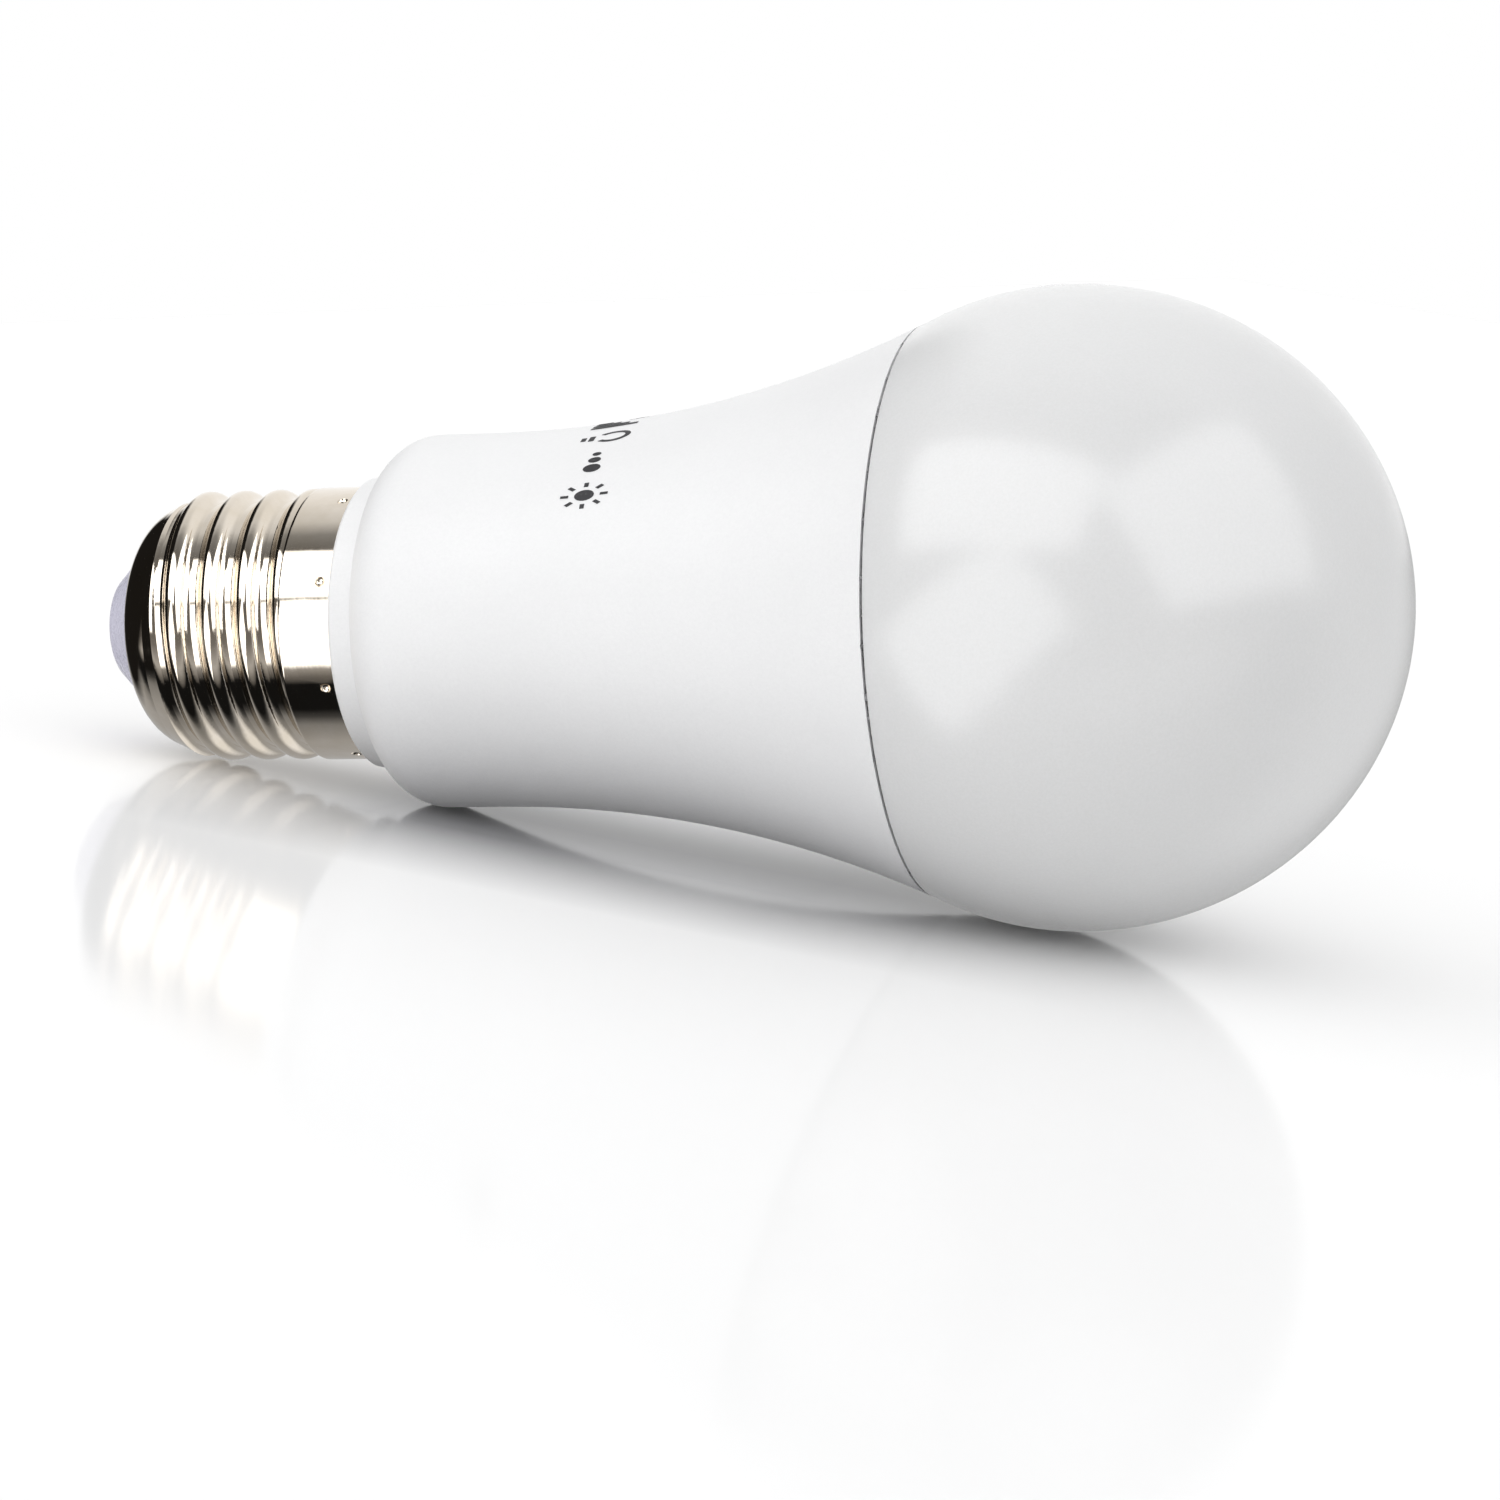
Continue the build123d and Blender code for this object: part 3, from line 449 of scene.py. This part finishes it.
def on_housing(x, turn, lift):
    """A point above the housing's surface. turn is measured from the front, up and over, in radians."""
    radius = housing_radius(x) + lift
    return Vector((x, -radius * math.cos(turn), radius * math.sin(turn)))


def add_piece(name, mesh, material):
    """An object that rides on the lamp, with the given material."""
    piece = bpy.data.objects.new(name, mesh)
    bpy.context.scene.collection.objects.link(piece)
    mesh.materials.append(material)
    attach(piece, "root")
    return piece


def arc_band(centre, radius, width, start, end, steps=18):
    """A stroke along an arc, as a row of quads in symbol coordinates."""
    rows = []
    for index in range(steps + 1):
        angle = math.radians(start + (end - start) * index / steps)
        ray = Vector((math.cos(angle), math.sin(angle)))
        rows.append((centre + ray * (radius - width / 2), centre + ray * (radius + width / 2)))
    return [(a[0], a[1], b[1], b[0]) for a, b in zip(rows, rows[1:])]


def bar(low, high, parts=6):
    """A filled upright bar, cut across so that it can follow the housing."""
    step = (high.x - low.x) / parts
    xs = [low.x + step * index for index in range(parts + 1)]
    return [
        (Vector((a, low.y)), Vector((b, low.y)), Vector((b, high.y)), Vector((a, high.y)))
        for a, b in zip(xs, xs[1:])
    ]


def disc(centre, radius, steps=14):
    """A filled dot, as one polygon."""
    angles = [2 * math.pi * index / steps for index in range(steps)]
    return [tuple(centre + radius * Vector((math.cos(angle), math.sin(angle))) for angle in angles)]


# The symbols are drawn in a square from 0 to 1, which make_marks stretches to a symbol's size.
def radio_symbol():
    """A dot that sends three waves."""
    source = Vector((0.5, 0.1))
    waves = [arc_band(source, radius, 0.11, 45, 135) for radius in (0.34, 0.58, 0.82)]
    return disc(source, 0.1) + sum(waves, [])


def bars_symbol():
    """Four rising bars."""
    bars = [bar(Vector((0.27 * i, 0)), Vector((0.27 * i + 0.17, 0.28 + 0.22 * i))) for i in range(4)]
    return sum(bars, [])


def lamp_symbol():
    """A round lamp over two base lines."""
    glass = arc_band(Vector((0.5, 0.64)), 0.3, 0.11, -50, 230, 28)
    upper_line = bar(Vector((0.34, 0.16)), Vector((0.66, 0.27)))
    lower_line = bar(Vector((0.38, 0)), Vector((0.62, 0.1)))
    return glass + upper_line + lower_line


def dots_symbol():
    """Three dots that grow."""
    sizes = ((0.12, 0.09), (0.42, 0.13), (0.80, 0.18))
    return sum([disc(Vector((along, 0.5)), radius) for along, radius in sizes], [])


def sun_symbol():
    """A dot with eight rays."""
    centre = Vector((0.5, 0.5))
    rays = []
    for index in range(8):
        along = Vector((math.cos(math.pi * index / 4), math.sin(math.pi * index / 4)))
        across = Vector((-along.y, along.x)) * 0.045
        start = centre + along * 0.32
        end = centre + along * 0.48
        rays.append((start - across, end - across, end + across, start + across))
    return disc(centre, 0.2, 18) + rays


def make_marks(materials):
    """The printed row of symbols round the housing."""
    bm = bmesh.new()
    symbols = (radio_symbol(), bars_symbol(), lamp_symbol(), dots_symbol(), sun_symbol())
    for index, polygons in enumerate(symbols):
        start = math.radians(MARK_FIRST - MARK_STEP * index)
        for polygon in polygons:
            corners = []
            for across, up in polygon:
                turn = start - across * MARK_WIDTH / housing_radius(MARK_X)
                corners.append(bm.verts.new(on_housing(MARK_X + up * MARK_SIZE, turn, MARK_LIFT)))
            bm.faces.new(corners)
    bmesh.ops.remove_doubles(bm, verts=bm.verts, dist=1e-6)
    bmesh.ops.recalc_face_normals(bm, faces=bm.faces)
    mesh = bpy.data.meshes.new("printed_symbols")
    bm.to_mesh(mesh)
    bm.free()
    piece = add_piece("printed_symbols", mesh, materials["adhesive"])
    mesh.materials[0] = printed_ink()
    ink = piece.modifiers.new("thickness", "SOLIDIFY")
    ink.thickness = INK_THICKNESS
    ink.offset = 0


def make_seam_crumbs(materials):
    """Small lumps of cured adhesive squeezed out of the seam."""
    draw = random.Random(11)
    turns = list(CRUMB_PLACES) + [draw.uniform(-180, 180) for _ in range(CRUMB_COUNT)]
    bm = bmesh.new()
    for index, turn in enumerate(turns):
        sizes = LARGE_CRUMB if index < len(CRUMB_PLACES) else SMALL_CRUMB
        radius = CRUMB_R * draw.uniform(*sizes)
        angle = math.radians(turn)
        outwards = Vector((0, -math.cos(angle), math.sin(angle)))
        along = Vector((0, math.sin(angle), math.cos(angle)))
        centre = Vector((SEAM_X + SEAM_GAP / 2, 0, 0)) + outwards * (SEAM_R - radius * CRUMB_SINK)
        stretch = draw.uniform(*CRUMB_STRETCH)
        lump = bmesh.ops.create_icosphere(bm, subdivisions=2, radius=1.0)["verts"]
        for vertex in lump:
            ripple = 1 + draw.uniform(-CRUMB_RIPPLE, CRUMB_RIPPLE)
            local = vertex.co * ripple * radius
            vertex.co = centre + Vector((local.x, 0, 0)) + outwards * local.y + along * local.z * stretch
    mesh = bpy.data.meshes.new("seam_crumbs")
    bm.to_mesh(mesh)
    bm.free()
    for polygon in mesh.polygons:
        polygon.use_smooth = True
    add_piece("seam_crumbs", mesh, materials["adhesive"])


# ---- Studio ----
def make_floor():
    """White gloss floor that touches the heel and the dome, with a shadow painted into its colour under
    the lamp.
    """
    run = DOME_CENTRE_X - HEEL_CENTRE_X
    lean = math.atan2(HEEL_CENTRE_R, run)
    tilt = math.asin((DOME_R - HEEL_ROUND) / math.hypot(run, HEEL_CENTRE_R)) - lean
    up = Vector((math.sin(tilt), 0, math.cos(tilt)))
    along = Vector((math.cos(tilt), 0, -math.sin(tilt)))
    foot = Vector((DOME_CENTRE_X, 0, 0)) - up * DOME_R
    start_x, end_x = FLOOR_X
    near_y, far_y = FLOOR_Y
    outline = ((start_x, near_y), (end_x, near_y), (end_x, far_y), (start_x, far_y))
    corners = [foot + along * x + Vector((0, y, 0)) for x, y in outline]
    mesh = bpy.data.meshes.new("floor")
    mesh.from_pydata(corners, [], [(0, 1, 2, 3)])
    floor = bpy.data.objects.new("floor", mesh)
    bpy.context.scene.collection.objects.link(floor)
    material, tree, shader = new_material("floor")
    x, y, _ = coordinates(tree)
    # Painted shadow: the floor's base colour turns grey under the lamp, standing in for its cast shadow.
    shade = spread(tree, y, 0.0, 1.0, *SHADE_FRONT)
    shade = calculate(tree, "MULTIPLY", shade, spread(tree, y, 1.0, 0.0, *SHADE_BACK))
    shade = calculate(tree, "MULTIPLY", shade, spread(tree, x, 0.0, 1.0, *SHADE_CAP))
    shade = calculate(tree, "MULTIPLY", shade, spread(tree, x, 1.0, 0.0, *SHADE_DOME))
    tree.links.new(blend(tree, shade, (1.0, 1.0, 1.0), PAINTED_SHADOW_COLOUR), shader.inputs["Base Color"])
    set_inputs(shader, Roughness=0.1, IOR=1.16)
    mesh.materials.append(material)
    floor.visible_glossy = False


def studio_strips(tree, angle):
    """What polished metal sees of the studio, by the angle round the lamp axis."""
    node = tree.nodes.new("ShaderNodeValToRGB")
    elements = node.color_ramp.elements
    elements.remove(elements[-1])
    for index, (degrees, colour) in enumerate(STUDIO_STRIPS):
        element = elements[0] if index == 0 else elements.new((degrees + 180) / 360)
        element.color = (*colour, 1)
    tree.links.new(angle, node.inputs["Fac"])
    return node.outputs["Color"]


def along(tree, direction, axis):
    """How far a direction points along an axis."""
    node = tree.nodes.new("ShaderNodeVectorMath")
    node.operation = "DOT_PRODUCT"
    node.inputs[1].default_value = axis.normalized()
    tree.links.new(direction, node.inputs[0])
    return node.outputs["Value"]


def inside_card(tree, direction, middle, side, half_sizes):
    """1 where a direction meets a card, with a soft edge, and 0 elsewhere."""
    ahead = along(tree, direction, middle)
    lit = calculate(tree, "GREATER_THAN", ahead, 0.0)
    for axis, half in zip((side, middle.cross(side)), half_sizes):
        slope = calculate(tree, "DIVIDE", along(tree, direction, axis), ahead)
        start, end = (half * share for share in CARD_EDGE)
        edge = spread(tree, calculate(tree, "ABSOLUTE", slope), 1.0, 0.0, start, end)
        lit = calculate(tree, "MULTIPLY", lit, edge)
    return lit


def make_world():
    """White for the camera, a soft sky for diffuse light, and a studio of strips and cards for gloss."""
    world = bpy.data.worlds.new("studio")
    bpy.context.scene.world = world
    world.use_nodes = True
    world.cycles.sampling_method = "NONE"
    tree = world.node_tree
    tree.nodes.clear()
    place = tree.nodes.new("ShaderNodeTexCoord")
    direction = tree.nodes.new("ShaderNodeVectorMath")
    direction.operation = "NORMALIZE"
    tree.links.new(place.outputs["Generated"], direction.inputs[0])
    parts = tree.nodes.new("ShaderNodeSeparateXYZ")
    tree.links.new(direction.outputs["Vector"], parts.inputs["Vector"])
    x, y, z = (parts.outputs[axis] for axis in "XYZ")

    turn = calculate(tree, "ARCTAN2", z, calculate(tree, "MULTIPLY", y, -1.0))
    factor = calculate(tree, "MULTIPLY_ADD", turn, 1 / (2 * math.pi), 0.5)
    strips = studio_strips(tree, factor)
    behind = spread(tree, y, 0.0, 1.0, *WHITE_SIDE)
    white_side = calculate(tree, "MULTIPLY", spread(tree, x, 0.0, 1.0, *WHITE_SIDE), behind)
    gloss = blend(tree, white_side, strips, (1.0, 1.0, 1.0))
    towards_flag = along(tree, direction.outputs["Vector"], Vector(DARK_FLAG))
    gloss = blend(tree, spread(tree, towards_flag, 0.0, 1.0, *DARK_FLAG_EDGE), gloss, DARK_FLAG_COLOUR)
    for middle, side, half_along, half_across, radiance in SOFT_CARDS:
        half_sizes = (half_along, half_across)
        lit = inside_card(tree, direction.outputs["Vector"], Vector(middle), Vector(side), half_sizes)
        gloss = blend(tree, lit, gloss, (radiance,) * 3)
    height = along(tree, direction.outputs["Vector"], Vector(SKY_TOWARDS))
    sky = blend(tree, spread(tree, height, 0.0, 1.0, *SKY_RISE), SKY_LOW, SKY_HIGH)

    rays = tree.nodes.new("ShaderNodeLightPath")
    colour = blend(tree, rays.outputs["Is Glossy Ray"], sky, gloss)
    colour = blend(tree, rays.outputs["Is Camera Ray"], colour, (1.0, 1.0, 1.0))
    background = tree.nodes.new("ShaderNodeBackground")
    tree.links.new(colour, background.inputs["Color"])
    output = tree.nodes.new("ShaderNodeOutputWorld")
    tree.links.new(background.outputs["Background"], output.inputs["Surface"])


def make_camera():
    """The photograph's view: from the side, turned so that the dome's end is nearer."""
    turn, rise, roll = CAMERA_TURN, CAMERA_RISE, CAMERA_ROLL
    forward = Vector((-math.sin(turn), math.cos(turn) * math.cos(rise), -math.cos(turn) * math.sin(rise)))
    level = Vector((math.cos(turn), math.sin(turn) * math.cos(rise), -math.sin(turn) * math.sin(rise)))
    plumb = Vector((0, -math.sin(rise), -math.cos(rise)))
    right = level * math.cos(roll) - plumb * math.sin(roll)
    down = level * math.sin(roll) + plumb * math.cos(roll)
    rim = Vector((RIM_X, 0, 0))
    place = rim - (right * RIM_RIGHT + down * RIM_DOWN + forward * CAMERA_DISTANCE)
    turned = Matrix((right, -down, -forward)).transposed().to_4x4()
    camera = bpy.data.objects.new("camera", bpy.data.cameras.new("camera"))
    camera.data.lens = CAMERA_LENS
    camera.data.sensor_width = 36
    camera.data.clip_start = 0.01
    camera.data.clip_end = 50
    camera.matrix_world = Matrix.Translation(place) @ turned
    bpy.context.scene.collection.objects.link(camera)
    bpy.context.scene.camera = camera


MATERIALS = slot_materials()
dress_cad_nodes(MATERIALS)
make_marks(MATERIALS)
make_seam_crumbs(MATERIALS)
make_floor()
make_world()
make_camera()
bpy.context.scene.view_settings.view_transform = "Standard"
